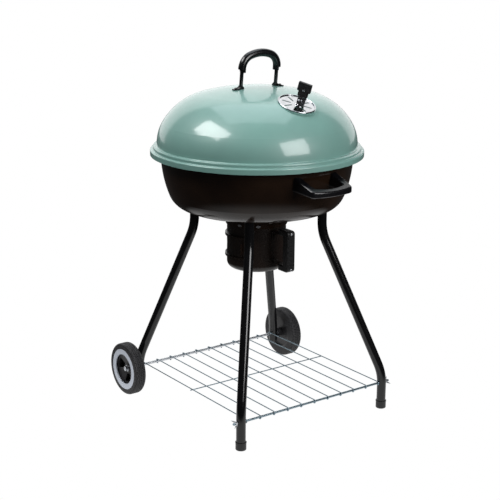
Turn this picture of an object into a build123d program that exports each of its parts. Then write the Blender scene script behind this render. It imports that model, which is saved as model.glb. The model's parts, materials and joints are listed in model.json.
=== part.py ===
from build123d import *
import os
from math import asin, cos, degrees, radians, sin, sqrt, tan

# A kettle charcoal grill: an enamelled bowl and lid on four bent tube legs, with two
# wheels, a wire rack between the legs and an ash can under the bowl.
# Sizes are in millimetres. +Z is up and the floor is z = 0. X runs along the wheel axle,
# +Y points to the wheels and -Y to the side with the bowl handle. The origin is on the
# floor, under the middle of the grill's overall box.

os.makedirs("parts", exist_ok=True)

# ---- Driving dimensions ------------------------------------------------------------

sheet = 1.2  # enamelled steel sheet
rest_gap = 0.3  # between pieces that rest or slide on each other
fit = 0.1  # radial clearance of a fixed fit
running = 0.08  # radial clearance of a shaft that turns
head_round = 0.8  # share of a domed head's height that is rounded

# Bowl
bowl_radius = 262.2
bowl_rim_height = 726.5
bowl_wall_drop = 11.5  # straight wall from the rim's top down to the pressed curve
bowl_depth = 160.0  # of the pressed curve
bowl_side_radius = 303.0
bowl_side_turn = 22.0
bowl_bottom_turn = 84.0
rim_overhang = 22.0
rim_drop = 16.5
rim_bend = 5.0
throat_radius = 66.0  # opening in the bowl's bottom, over the ash can
bowl_bottom = bowl_rim_height - bowl_wall_drop - bowl_depth

# Lid
lid_skirt_gap = 5.6
lid_skirt_drop = 15.0
lid_ledge = 8.0
lid_bead = 10.1
lid_bead_height = 10.0
lid_wall = 4.0
lid_outer_bend = 3.5
lid_inner_bend = 2.0
lid_crown_height = 895.8
lid_side_radius = 111.6
lid_side_turn = 30.7
lid_crown_turn = 75.85

# Lid vent
vent_tilt = 21.0  # of the vent's normal from the vertical, towards -Y
vent_seat_radius = 53.0
vent_seat_sink = 3.0
vent_seat_depth = 14.0
vent_radius = 50.5
vent_plate = 1.0
vent_bead = 1.9
vent_slots = 8
vent_slot_width = 4.5
vent_slot_start = 16.0
vent_slot_end = 40.0
vent_rivet_radius = 3.0
vent_rivet_head = 5.0
vent_rivet_head_height = 2.0
vent_tab_angle = 54.0  # of the tab's width from +X, towards -Y
vent_tab_offset = 15.0  # of the tab's back from the rivet, square to its width
vent_tab_shift = 6.0  # of the tab's middle from the rivet, along its width
vent_strap = 1.2
vent_strap_width = 22.0
vent_strap_bare = 18.0  # strap left showing under the plastic tab
tab_socket = 26.0
tab_bar_width = 36.0
tab_bar_height = 24.0
tab_stem_width = 27.0
tab_stem_height = 14.0
tab_thickness = 6.5
tab_stud_radius = 3.2
tab_recess_radius = 5.5
tab_recess_depth = 1.0
tab_round = 1.5

# Lid handle
handle_span = 115.0  # between the middles of the two uprights
handle_lean = 6.0  # of the whole handle, towards -Y
handle_shift = 3.0  # of its feet, towards -Y
handle_rise = 94.3  # of the rod's crown above the lid
handle_corner_radius = 36.0
handle_corner_turn = 70.0
handle_rod_radius = 5.0
handle_rod_lift = 3.0
grip_radius = 10.6
grip_parting = 0.2
grip_outer_end = 53.0  # height of the outer half's ends above the lid
grip_inner_end = 45.0
foot_pad_inner = 6.0  # of the pad, inside the upright's middle
foot_pad_outer = 23.0
foot_pad_width = 15.0
foot_pad_thickness = 3.0
foot_pad_neck = 9.0
handle_bolt_radius = 2.5
handle_bolt_offset = 15.0  # outside the upright's middle
handle_bolt_head = 4.6
handle_bolt_head_height = 3.0
handle_nut_flats = 8.0
handle_nut_height = 4.0

# Bowl handle
bowl_handle_reach = 72.0  # from the bowl's wall to the bar's outer face
bowl_handle_half = 66.0
bowl_handle_mount_half = 71.0
bowl_handle_bar = 15.0
bowl_handle_depth = 19.0
bowl_handle_curve = 9.0
bowl_handle_mount_top = 25.0  # below the bowl's rim
bowl_handle_mount_height = 40.0
bowl_handle_bar_drop = 58.0  # from the bowl's rim to the bar's top
bowl_handle_round = 5.0
bowl_handle_corner = 12.0
bowl_handle_seat = 20.0  # how far the loop runs in past the bowl's wall before it is trimmed
bowl_handle_screw_half = 57.0
bowl_handle_screw_radius = 2.5
bowl_handle_screw_length = 26.0
bowl_handle_screw_head = 4.8
bowl_handle_screw_head_height = 3.0

# Grates
cooking_grate_radius = 252.0
cooking_grate_drop = 36.0  # from the bowl's rim to the ring's middle
charcoal_grate_radius = 226.0
charcoal_grate_drop = 121.0
cooking_wire = 4.0
cooking_ring = 6.0
cooking_pitch = 18.0
charcoal_wire = 6.0
charcoal_ring = 8.0
charcoal_pitch = 28.0
weld = 0.5  # depth by which joined or welded shapes run into each other
grate_tabs = 4
grate_tab_width = 20.0
grate_tab_reach = 15.0
grate_tab_thickness = 2.0
grate_tab_drop = 14.0

# Ash can and its collar
can_radius = 82.0
can_bottom = bowl_bottom - 161.0
can_top = bowl_bottom - 15.0
can_corner = 18.0
collar_gap = 2.2
collar_bottom = bowl_bottom - 35.0
clip_count = 3
clip_angle = 219.4
clip_half_angle = 22.0
clip_thickness = 0.7
clip_height = 13.0
clip_pad_half_angle = 6.0
stud_half_angle = 17.5
stud_height = bowl_bottom - 28.0
stud_half_width = 6.0
stud_half_height = 3.2
stud_rise = 2.0
stud_shank = 1.6
air_holes = 2
air_hole_radius = 10.0
air_hole_height = bowl_bottom - 94.0
first_air_hole_angle = 147.0
air_hole_spacing = 26.0
rail_spread = 58.0  # between the two rails' middles
rail_height = 7.0
rail_depth = 5.0
rail_groove = 1.8
rail_groove_depth = 3.5
rail_start_angle = 107.0
rail_end_angle = 212.0
slider_thickness = 1.0
slider_start_angle = 162.0
slider_end_angle = 206.0
slider_tab = 9.0
slider_tab_height = 30.0

# Ash can handle
ash_reach = 158.0  # from the can's axis to the grip's outer face
ash_grip_low = bowl_bottom - 144.0
ash_grip_high = bowl_bottom - 30.0
ash_grip_depth = 22.0
ash_grip_width = 26.0
ash_grip_arm = 16.0
ash_grip_arm_length = 42.0
ash_grip_round = 9.0
grip_edge_round = 3.0
ash_ribs = 7
ash_rib_pitch = 13.0
ash_rib_height = 5.0
ash_rib_rise = 1.6
ash_strap_width = 20.0
ash_strap_thickness = 2.0
ash_flange = 20.0
ash_tab = 12.0
ash_rivet_radius = 2.0
ash_rivet_head = 4.0
ash_rivet_head_height = 2.0
ash_screw_radius = 2.0
ash_screw_head = 3.6
ash_screw_head_height = 2.0
ash_screw_length = 14.0
ash_screw_inset = 7.5

# Legs
leg_radius = 12.7
leg_wall = 1.5
leg_bend_radius = 140.0
leg_top_half = 123.2
front_top_reach = 135.5
rear_top_reach = 124.8
leg_foot_half = 243.0
front_foot_reach = 268.0
rear_foot_reach = 237.5
leg_upper_bend = bowl_bottom - 53.0
leg_lower_bend = 102.0
leg_plug_height = 24.0
leg_bolt_radius = 3.0
leg_bolt_head = 6.5
leg_bolt_head_height = 4.0
rear_leg_end = 56.0
rear_plug_height = 14.0
rear_plug_flange = 2.0
cap_wall = 1.5
cap_height = 22.0
cap_floor = 3.0
cap_bead = 0.6
cap_bead_height = 3.0
cap_round = 2.5

# Wheels and axle
wheel_radius = 75.0
wheel_width = 33.0
wheel_leg_gap = 9.3  # between a rear leg's outer side and the tyre
tyre_round = 7.0
tyre_grooves = 3
tyre_groove_width = 1.6
tyre_groove_depth = 1.2
tyre_groove_pitch = 6.0
ring_outer_radius = 59.2
ring_inner_radius = 43.6
ring_thickness = 3.0
ring_recess = 0.5
hub_rim_thickness = 6.2
hub_boss_radius = 13.0
hub_boss_recess = 14.0
hub_spokes = 3
hub_gap_angle = 52.0
hub_gap_turn = 15.0
hub_gap_margin = 4.0
hub_web = 5.0
hub_back_inset = 7.0  # from the tyre's inner face to the thin disc behind the spokes
hub_back = 2.0
web_boss_recess = 16.0
web_rim_recess = 8.0
axle_radius = 4.0
axle_end_inset = 4.0
axle_end_chamfer = 0.8
axle_washer_radius = 9.0
axle_washer = 1.5
axle_nut = 6.0
axle_nut_flats = 13.0
side_play = 0.5

# Rack
rack_wire = 3.0
rack_wires = 11
rack_side_gap = 0.8  # between the outermost wires and the rear legs
rack_hook_turn = 200.0
front_rod_radius = 3.0
cross_wire_reach = 14.5
cross_wire_overhang = 3.0
wing_nut_radius = 5.0
wing_nut_length = 7.0
wing_span = 12.0
wing_rise = 13.0
wing_thickness = 2.0
front_rod_stub = 12.0

# ---- Derived sizes -----------------------------------------------------------------

kettle_y = (bowl_radius + bowl_handle_reach - rear_foot_reach - wheel_radius) / 2
kettle_axis = Axis((0, kettle_y, 0), (0, 0, 1))
kettle_section = Plane.XZ.offset(-kettle_y)
front_foot_y = kettle_y - front_foot_reach
axle_y = kettle_y + rear_foot_reach
axle_height = wheel_radius

wall_bottom = bowl_rim_height - bowl_wall_drop
hem_radius = bowl_radius + rim_overhang
lid_skirt_radius = hem_radius + lid_skirt_gap + sheet
lid_ledge_height = bowl_rim_height + rest_gap + sheet
lid_skirt_bottom = lid_ledge_height - lid_skirt_drop
bead_radius = lid_skirt_radius - lid_ledge
dome_radius = bead_radius - lid_bead
dome_base = lid_ledge_height + lid_bead_height + lid_wall


def level(height):
    """Horizontal plane on the kettle's axis."""
    return Plane((0, kettle_y, height))


def outward(angle):
    """Horizontal direction away from the kettle's axis at this angle from +X."""
    return Vector(cos(radians(angle)), sin(radians(angle)), 0)


def radial_section(angle):
    """Upright plane through the kettle's axis: its X is the radius and its Y the height."""
    return Plane((0, kettle_y, 0), x_dir=outward(angle), z_dir=outward(angle - 90))


def facing_out(angle, radius, height):
    """Upright plane that faces away from the kettle's axis, with its X level."""
    origin = Vector(0, kettle_y, height) + outward(angle) * radius
    return Plane(origin, x_dir=outward(angle + 90), z_dir=outward(angle))


def pressed_radii(radius, height, side_radius, side_turn, crown_turn):
    """Shoulder and crown radii that carry a pressed wall to its axis at this height.

    The wall starts parallel to the axis, and both turns are measured from there.
    """
    side = radians(side_turn)
    crown = radians(crown_turn)
    inward = radius - side_radius * (1 - cos(side))
    upward = height - side_radius * sin(side)
    shoulder_in = cos(side) - cos(crown)
    shoulder_up = sin(crown) - sin(side)
    determinant = shoulder_in * (1 - sin(crown)) - shoulder_up * cos(crown)
    shoulder_radius = (inward * (1 - sin(crown)) - upward * cos(crown)) / determinant
    crown_radius = (shoulder_in * upward - shoulder_up * inward) / determinant
    return shoulder_radius, crown_radius


bowl_shoulder_radius, bowl_bottom_radius = pressed_radii(
    bowl_radius, bowl_depth, bowl_side_radius, bowl_side_turn, bowl_bottom_turn
)
lid_shoulder_radius, lid_crown_radius = pressed_radii(
    dome_radius, lid_crown_height - dome_base, lid_side_radius, lid_side_turn, lid_crown_turn
)


def bowl_wall_radius(height):
    """Outside radius of the bowl's side at a height above its shoulder."""
    fall = max(wall_bottom - height, 0)
    return bowl_radius - bowl_side_radius + sqrt(bowl_side_radius**2 - fall**2)


def bowl_bottom_height(radius):
    """Height of the bowl's outside at a radius on its bottom or its shoulder."""
    turn = radians(bowl_bottom_turn)
    arc_radius = bowl_bottom_radius
    if radius > bowl_bottom_radius * cos(turn):
        arc_radius = bowl_shoulder_radius
    shift = bowl_bottom_radius - arc_radius
    middle = bowl_bottom + bowl_bottom_radius - shift * sin(turn)
    return middle - sqrt(arc_radius**2 - (radius - shift * cos(turn)) ** 2)


def lid_top_height(radius):
    """Height of the lid's outside at a radius on its crown."""
    return lid_crown_height - lid_crown_radius + sqrt(lid_crown_radius**2 - radius**2)


# ---- Bowl --------------------------------------------------------------------------

leg_tops = [
    (side * leg_top_half, reach)
    for side in (-1, 1)
    for reach in (-front_top_reach, rear_top_reach)
]
handle_screw_swing = degrees(asin(bowl_handle_screw_half / bowl_radius))
handle_screw_angles = (270 - handle_screw_swing, 270 + handle_screw_swing)
handle_screw_height = bowl_rim_height - bowl_handle_mount_top - bowl_handle_mount_height / 2


def bowl_form(inset=0.0, top=bowl_rim_height):
    """Solid inside the bowl's outer surface, drawn in by an inset and cut off at a height."""
    with BuildPart() as form:
        with BuildSketch(kettle_section):
            with BuildLine():
                wall = Line((bowl_radius - inset, bowl_rim_height), (bowl_radius - inset, wall_bottom))
                side = JernArc(wall @ 1, (0, -1), bowl_side_radius - inset, -bowl_side_turn)
                shoulder_turn = bowl_side_turn - bowl_bottom_turn
                shoulder = JernArc(side @ 1, side % 1, bowl_shoulder_radius - inset, shoulder_turn)
                bottom_turn = bowl_bottom_turn - 90
                bottom = JernArc(shoulder @ 1, shoulder % 1, bowl_bottom_radius - inset, bottom_turn)
                Polyline(bottom @ 1, (0, bowl_rim_height), wall @ 0)
            make_face()
        revolve(axis=kettle_axis)
        split(bisect_by=level(top), keep=Keep.BOTTOM)
    return form.part


with BuildPart() as bowl_shell:
    add(bowl_form(top=wall_bottom))
    add(bowl_form(sheet, wall_bottom), mode=Mode.SUBTRACT)
    with BuildSketch(kettle_section):
        with BuildLine():
            rim_top = FilletPolyline(
                (bowl_radius - sheet, wall_bottom),
                (bowl_radius - sheet, bowl_rim_height),
                (hem_radius, bowl_rim_height),
                (hem_radius, bowl_rim_height - rim_drop),
                radius=rim_bend + sheet,
            )
            rim_under = FilletPolyline(
                (bowl_radius, wall_bottom),
                (bowl_radius, bowl_rim_height - sheet),
                (hem_radius - sheet, bowl_rim_height - sheet),
                (hem_radius - sheet, bowl_rim_height - rim_drop),
                radius=rim_bend,
            )
            Line(rim_top @ 0, rim_under @ 0)
            Line(rim_top @ 1, rim_under @ 1)
        make_face()
    revolve(axis=kettle_axis)
    with BuildSketch(level(wall_bottom)):
        Circle(throat_radius)
        with Locations(*leg_tops):
            Circle(leg_bolt_radius + fit)
    extrude(amount=-bowl_depth - sheet, mode=Mode.SUBTRACT)
    for angle in handle_screw_angles:
        with BuildSketch(facing_out(angle, bowl_radius / 2, handle_screw_height)):
            Circle(bowl_handle_screw_radius + fit)
        extrude(amount=bowl_radius, mode=Mode.SUBTRACT)
bowl_shell.part.label = "bowl_shell"
export_step(bowl_shell.part, "parts/bowl_shell.step")

# ---- Lid ---------------------------------------------------------------------------

shoulder_shift = lid_crown_radius - lid_shoulder_radius
shoulder_radius_in = shoulder_shift * cos(radians(lid_crown_turn))
shoulder_drop = shoulder_shift * (1 - sin(radians(lid_crown_turn))) + lid_shoulder_radius
vent_reach = shoulder_radius_in + lid_shoulder_radius * sin(radians(vent_tilt))
vent_height = lid_crown_height - shoulder_drop + lid_shoulder_radius * cos(radians(vent_tilt))
vent_normal = Vector(0, -sin(radians(vent_tilt)), cos(radians(vent_tilt)))
vent_seat = Plane(
    Vector(0, kettle_y - vent_reach, vent_height) - vent_normal * vent_seat_sink,
    x_dir=(1, 0, 0),
    z_dir=vent_normal,
)
handle_half = handle_span / 2
handle_y = kettle_y - handle_shift
handle_bolt_half = handle_half + handle_bolt_offset


def slot_ring():
    """Sketches the ring of radial slots round the vent's rivet."""
    with PolarLocations((vent_slot_start + vent_slot_end) / 2, vent_slots):
        SlotOverall(vent_slot_end - vent_slot_start, vent_slot_width)


def handle_bolt_plane(side):
    """Plane on the lid's outside at a handle bolt, facing out of the lid."""
    x = side * handle_bolt_half
    height = lid_top_height(handle_bolt_half)
    normal = (x, 0, height - lid_crown_height + lid_crown_radius)
    return Plane((x, handle_y, height), z_dir=normal)


def lid_form(inset):
    """Solid under the lid's outer surface, drawn in by an inset."""
    with BuildPart() as form:
        with BuildSketch(kettle_section):
            with BuildLine():
                lip = FilletPolyline(
                    (lid_skirt_radius - inset, lid_skirt_bottom),
                    (lid_skirt_radius - inset, lid_ledge_height - inset),
                    (bead_radius - inset, lid_ledge_height - inset),
                    (bead_radius - inset, lid_ledge_height + lid_bead_height - inset),
                    (dome_radius - inset, lid_ledge_height + lid_bead_height - inset),
                    (dome_radius - inset, dome_base),
                    radius=(
                        lid_outer_bend - inset,
                        lid_inner_bend + inset,
                        lid_outer_bend - inset,
                        lid_inner_bend + inset,
                    ),
                )
                shoulder_turn = lid_crown_turn - lid_side_turn
                side = JernArc(lip @ 1, (0, 1), lid_side_radius - inset, lid_side_turn)
                shoulder = JernArc(side @ 1, side % 1, lid_shoulder_radius - inset, shoulder_turn)
                crown = JernArc(
                    shoulder @ 1, shoulder % 1, lid_crown_radius - inset, 90 - lid_crown_turn
                )
                Polyline(crown @ 1, (0, lid_skirt_bottom), lip @ 0)
            make_face()
        revolve(axis=kettle_axis)
        for amount, mode in ((-vent_seat_depth, Mode.ADD), (vent_seat_depth, Mode.SUBTRACT)):
            with BuildSketch(vent_seat.offset(-inset)):
                Circle(vent_seat_radius - inset)
            extrude(amount=amount, mode=mode)
    return form.part


with BuildPart() as lid_shell:
    add(lid_form(0))
    add(lid_form(sheet), mode=Mode.SUBTRACT)
    with BuildSketch(vent_seat):
        slot_ring()
        Circle(vent_rivet_radius + running)
    extrude(amount=-2 * sheet, mode=Mode.SUBTRACT)
    with BuildSketch(handle_bolt_plane(-1), handle_bolt_plane(1)):
        Circle(handle_bolt_radius + fit)
    extrude(amount=-2 * sheet, mode=Mode.SUBTRACT)
lid_shell.part.label = "lid_shell"
export_step(lid_shell.part, "parts/lid_shell.step")

# ---- Lid vent ----------------------------------------------------------------------

damper_top = rest_gap + vent_plate
strap_top = damper_top + vent_strap
tab_turn = radians(vent_tab_angle)
tab_width_dir = vent_seat.x_dir * cos(tab_turn) - vent_seat.y_dir * sin(tab_turn)
tab_frame = Plane(vent_seat.origin, x_dir=tab_width_dir, z_dir=vent_normal)
tab_middle = tab_frame.origin + tab_frame.x_dir * vent_tab_shift
tab_base = tab_middle + tab_frame.y_dir * (vent_tab_offset - vent_strap / 2)
tab_section = Plane(tab_base, x_dir=tab_frame.x_dir, z_dir=-tab_frame.y_dir)
tab_low = strap_top + vent_strap_bare
stud_place = tab_low + tab_stem_height + tab_stud_radius

with BuildPart() as vent_damper:
    with BuildSketch(Plane(vent_seat.origin, x_dir=(1, 0, 0), z_dir=-vent_seat.y_dir)):
        with Locations((vent_rivet_radius + fit, rest_gap)):
            Rectangle(
                vent_radius - vent_bead - vent_rivet_radius - fit,
                vent_plate,
                align=(Align.MIN, Align.MIN),
            )
        with Locations((vent_radius - vent_bead, rest_gap + vent_bead)):
            Circle(vent_bead)
    revolve(axis=Axis(vent_seat.origin, vent_normal))
    with BuildSketch(vent_seat):
        slot_ring()
    extrude(amount=2 * vent_plate, mode=Mode.SUBTRACT)
vent_damper.part.label = "vent_damper"
export_step(vent_damper.part, "parts/vent_damper.step")

strap_profile = Plane(tab_middle, x_dir=tab_frame.y_dir, z_dir=tab_frame.x_dir)

with BuildPart() as vent_tab_strap:
    with BuildSketch(strap_profile):
        with BuildLine():
            FilletPolyline(
                (-vent_strap_width / 2, damper_top),
                (vent_tab_offset, damper_top),
                (vent_tab_offset, tab_low + tab_socket),
                radius=2 * vent_strap,
            )
            offset(amount=vent_strap, side=Side.LEFT)
        make_face()
    extrude(amount=vent_strap_width / 2, both=True)
    foot_end = vent_tab_strap.faces().sort_by(Axis(tab_frame.origin, tab_frame.y_dir))[0]
    foot_corners = foot_end.edges().filter_by(Axis(tab_frame.origin, vent_normal))
    fillet(foot_corners, vent_strap_width / 2 - fit)
    with BuildSketch(tab_frame.offset(damper_top)):
        Circle(vent_rivet_radius + fit)
    extrude(amount=vent_strap, mode=Mode.SUBTRACT)
    with BuildSketch(tab_section.offset(-tab_thickness / 2)):
        with Locations((0, stud_place)):
            Circle(tab_stud_radius + fit)
    extrude(amount=tab_thickness, mode=Mode.SUBTRACT)
vent_tab_strap.part.label = "vent_tab_strap"
export_step(vent_tab_strap.part, "parts/vent_tab_strap.step")

with BuildPart() as vent_tab_grip:
    with BuildSketch(tab_section):
        with Locations((0, tab_low)):
            Rectangle(tab_stem_width, tab_stem_height, align=(Align.CENTER, Align.MIN))
        with Locations((0, tab_low + tab_stem_height)):
            Rectangle(tab_bar_width, tab_bar_height, align=(Align.CENTER, Align.MIN))
    extrude(amount=tab_thickness / 2, both=True)
    fillet(vent_tab_grip.edges().filter_by(Axis(tab_base, tab_section.z_dir)), tab_round)
    with BuildSketch(tab_frame.offset(tab_low)):
        with Locations((vent_tab_shift, vent_tab_offset - vent_strap / 2)):
            Rectangle(vent_strap_width + 2 * fit, vent_strap + 2 * fit)
    extrude(amount=tab_socket + fit, mode=Mode.SUBTRACT)
    with BuildSketch(tab_section.offset(-tab_thickness / 2)):
        with Locations((0, stud_place)):
            Circle(tab_stud_radius + fit)
    extrude(amount=tab_thickness, mode=Mode.SUBTRACT)
    with BuildSketch(tab_section.offset(tab_thickness / 2)):
        with Locations((0, stud_place)):
            Circle(tab_recess_radius)
    extrude(amount=-tab_recess_depth, mode=Mode.SUBTRACT)
vent_tab_grip.part.label = "vent_tab_grip"
export_step(vent_tab_grip.part, "parts/vent_tab_grip.step")

with BuildPart() as vent_tab_stud:
    with BuildSketch(tab_section.offset(-tab_thickness / 2)):
        with Locations((0, stud_place)):
            Circle(tab_stud_radius)
    extrude(amount=tab_thickness)
    stud_front = vent_tab_stud.faces().sort_by(Axis(tab_base, tab_section.z_dir))[-1]
    fillet(stud_front.edges(), tab_recess_depth)
vent_tab_stud.part.label = "vent_tab_stud"
export_step(vent_tab_stud.part, "parts/vent_tab_stud.step")

shank_low = -sheet - rest_gap

with BuildPart() as vent_rivet:
    with BuildSketch(vent_seat.offset(shank_low)):
        Circle(vent_rivet_radius)
    extrude(amount=strap_top - shank_low)
    inner_head = shank_low - vent_rivet_head_height
    with BuildSketch(vent_seat.offset(strap_top), vent_seat.offset(inner_head)):
        Circle(vent_rivet_head)
    extrude(amount=vent_rivet_head_height)
    top_face = vent_rivet.faces().sort_by(Axis(vent_seat.origin, vent_normal))[-1]
    fillet(top_face.edges(), head_round * vent_rivet_head_height)
vent_rivet.part.label = "vent_rivet"
export_step(vent_rivet.part, "parts/vent_rivet.step")

# ---- Lid handle --------------------------------------------------------------------

lean = radians(handle_lean)
handle_plane = Plane(
    (0, handle_y, lid_top_height(handle_half)),
    x_dir=(1, 0, 0),
    z_dir=(0, -cos(lean), -sin(lean)),
)
handle_crown_turn = 90 - handle_corner_turn
handle_crown_radius = (
    handle_half - handle_corner_radius * (1 - cos(radians(handle_corner_turn)))
) / sin(radians(handle_crown_turn))
handle_straight = (
    handle_rise
    - handle_corner_radius * sin(radians(handle_corner_turn))
    - handle_crown_radius * (1 - cos(radians(handle_crown_turn)))
)


def handle_route(low):
    """Draws the handle's arch from one upright over to the other, starting at a height."""
    rise = Line((-handle_half, low), (-handle_half, handle_straight))
    first = JernArc(rise @ 1, (0, 1), handle_corner_radius, -handle_corner_turn)
    crown = JernArc(first @ 1, first % 1, handle_crown_radius, -2 * handle_crown_turn)
    second = JernArc(crown @ 1, crown % 1, handle_corner_radius, -handle_corner_turn)
    Line(second @ 1, (handle_half, low))


def handle_cut(height):
    """Plane square to the handle's uprights, facing up, at this height."""
    origin = handle_plane.origin + handle_plane.y_dir * height
    return Plane(origin, x_dir=(1, 0, 0), z_dir=handle_plane.y_dir)


def pad_bottom(x):
    """Height of the foot pad's underside at this distance from the middle."""
    return lid_top_height(x) + rest_gap


with BuildPart() as lid_handle_rod:
    with BuildLine(handle_plane):
        handle_route(handle_rod_lift)
    with BuildSketch(handle_cut(handle_rod_lift)):
        with Locations((-handle_half, 0)):
            Circle(handle_rod_radius)
    sweep()
    pad_in = handle_half - foot_pad_inner
    pad_out = handle_half + foot_pad_outer
    neck_out = handle_half + foot_pad_neck
    for side in (-1, 1):
        with BuildSketch(Plane.XZ.offset(-handle_y)):
            with BuildLine():
                Polyline(
                    (side * pad_in, pad_bottom(pad_in)),
                    (side * pad_out, pad_bottom(pad_out)),
                    (side * pad_out, pad_bottom(pad_out) + foot_pad_thickness),
                    (side * neck_out, pad_bottom(neck_out) + foot_pad_thickness),
                    (side * handle_half, pad_bottom(handle_half) + foot_pad_neck),
                    (side * pad_in, pad_bottom(pad_in) + foot_pad_thickness),
                    close=True,
                )
            make_face()
        extrude(amount=foot_pad_width / 2, both=True)
    with BuildSketch(handle_bolt_plane(-1), handle_bolt_plane(1)):
        Circle(handle_bolt_radius + fit)
    extrude(amount=2 * foot_pad_thickness, mode=Mode.SUBTRACT)
lid_handle_rod.part.label = "lid_handle_rod"
export_step(lid_handle_rod.part, "parts/lid_handle_rod.step")


def grip_half(end_height, outer):
    """One half of the plastic grip, split along the middle of the rod."""
    with BuildPart() as half:
        with BuildLine(handle_plane):
            handle_route(end_height)
        with BuildSketch(handle_cut(end_height)):
            with Locations((-handle_half, 0)):
                Circle(grip_radius)
                Circle(handle_rod_radius + fit, mode=Mode.SUBTRACT)
            cut_side = Align.MIN if outer else Align.MAX
            shift = -grip_parting / 2 if outer else grip_parting / 2
            with Locations((-handle_half + shift, 0)):
                Rectangle(
                    2 * grip_radius,
                    2 * grip_radius,
                    align=(cut_side, Align.CENTER),
                    mode=Mode.SUBTRACT,
                )
        sweep()
    return half.part


lid_grip_outer = grip_half(grip_outer_end, True)
lid_grip_outer.label = "lid_grip_outer"
export_step(lid_grip_outer, "parts/lid_grip_outer.step")

lid_grip_inner = grip_half(grip_inner_end, False)
lid_grip_inner.label = "lid_grip_inner"
export_step(lid_grip_inner, "parts/lid_grip_inner.step")

bolt_base = rest_gap + foot_pad_thickness + fit
nut_face = -sheet - fit

with BuildPart() as lid_handle_bolts:
    with BuildSketch(*(handle_bolt_plane(side).offset(bolt_base) for side in (-1, 1))):
        Circle(handle_bolt_head)
    extrude(amount=handle_bolt_head_height)
    fillet(lid_handle_bolts.faces().group_by(Axis.Z)[-1].edges(), handle_bolt_head_height - fit)
    with BuildSketch(*(handle_bolt_plane(side).offset(bolt_base) for side in (-1, 1))):
        Circle(handle_bolt_radius)
    extrude(amount=-bolt_base + nut_face - handle_nut_height - fit)
lid_handle_bolts.part.label = "lid_handle_bolts"
export_step(lid_handle_bolts.part, "parts/lid_handle_bolts.step")

with BuildPart() as lid_handle_nuts:
    with BuildSketch(*(handle_bolt_plane(side).offset(nut_face) for side in (-1, 1))):
        RegularPolygon(handle_nut_flats / 2, 6, major_radius=False)
        Circle(handle_bolt_radius + fit, mode=Mode.SUBTRACT)
    extrude(amount=-handle_nut_height)
lid_handle_nuts.part.label = "lid_handle_nuts"
export_step(lid_handle_nuts.part, "parts/lid_handle_nuts.step")


# ---- Bowl handle -------------------------------------------------------------------

handle_wall_y = kettle_y - bowl_radius + bowl_handle_seat
handle_corner_y = kettle_y - bowl_radius - bowl_handle_reach + bowl_handle_curve
handle_loop_half = bowl_handle_half - bowl_handle_depth
wall_slope = asin((wall_bottom - handle_screw_height) / bowl_side_radius)
screw_head_lift = rest_gap + bowl_handle_screw_head * tan(wall_slope)
handle_front_y = handle_corner_y - bowl_handle_curve
handle_bar_top = bowl_rim_height - bowl_handle_bar_drop
handle_mount_top = bowl_rim_height - bowl_handle_mount_top
handle_screw_planes = [
    facing_out(angle, bowl_wall_radius(handle_screw_height) - sheet, handle_screw_height)
    for angle in handle_screw_angles
]


def loop_outline(half, mount_half, corner_y):
    """Draws the handle's plan from the bowl's wall out to its curved front."""
    front = ThreePointArc((-half, corner_y), (0, corner_y - bowl_handle_curve), (half, corner_y))
    Polyline(
        front @ 1,
        (mount_half, handle_wall_y),
        (-mount_half, handle_wall_y),
        front @ 0,
    )


with BuildPart() as bowl_handle:
    with BuildSketch() as loop_plan:
        with BuildLine():
            loop_outline(bowl_handle_half, bowl_handle_mount_half, handle_corner_y)
        make_face()
        fillet(loop_plan.vertices().group_by(Axis.Y)[0], bowl_handle_corner)
    extrude(amount=bowl_rim_height)
    with BuildSketch() as loop_hole:
        with BuildLine():
            loop_outline(
                handle_loop_half, handle_loop_half, handle_corner_y + bowl_handle_depth
            )
        make_face()
        fillet(loop_hole.vertices().group_by(Axis.Y)[0], bowl_handle_corner / 2)
    extrude(amount=bowl_rim_height, mode=Mode.SUBTRACT)
    with BuildSketch(Plane.YZ):
        with BuildLine():
            Polyline(
                (handle_wall_y, handle_mount_top),
                (handle_front_y, handle_bar_top),
                (handle_front_y, handle_bar_top - bowl_handle_bar),
                (handle_wall_y, handle_mount_top - bowl_handle_mount_height),
                close=True,
            )
        make_face()
    extrude(amount=bowl_handle_mount_half, both=True, mode=Mode.INTERSECT)
    wall_ends = bowl_handle.faces().filter_by(Axis.Y).group_by(Axis.Y)[-1]
    long_edges = bowl_handle.edges().filter_by(
        lambda edge: edge not in wall_ends.edges() and abs(edge.tangent_at(0.5).Z) < 0.9
    )
    fillet(long_edges, bowl_handle_round)
    add(bowl_form(), mode=Mode.SUBTRACT)
    with BuildSketch(*handle_screw_planes):
        Circle(bowl_handle_screw_radius + fit)
    extrude(amount=bowl_handle_screw_length + fit, mode=Mode.SUBTRACT)
bowl_handle.part.label = "bowl_handle"
export_step(bowl_handle.part, "parts/bowl_handle.step")

with BuildPart() as bowl_handle_screws:
    with BuildSketch(*handle_screw_planes):
        Circle(bowl_handle_screw_radius)
    extrude(amount=bowl_handle_screw_length)
    with BuildSketch(*handle_screw_planes):
        Circle(bowl_handle_screw_radius)
    extrude(amount=-screw_head_lift)
    with BuildSketch(*(plane.offset(-screw_head_lift) for plane in handle_screw_planes)):
        Circle(bowl_handle_screw_head)
    extrude(amount=-bowl_handle_screw_head_height)
bowl_handle_screws.part.label = "bowl_handle_screws"
export_step(bowl_handle_screws.part, "parts/bowl_handle_screws.step")

# ---- Grates ------------------------------------------------------------------------

cooking_height = bowl_rim_height - cooking_grate_drop
charcoal_height = bowl_rim_height - charcoal_grate_drop


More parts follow.
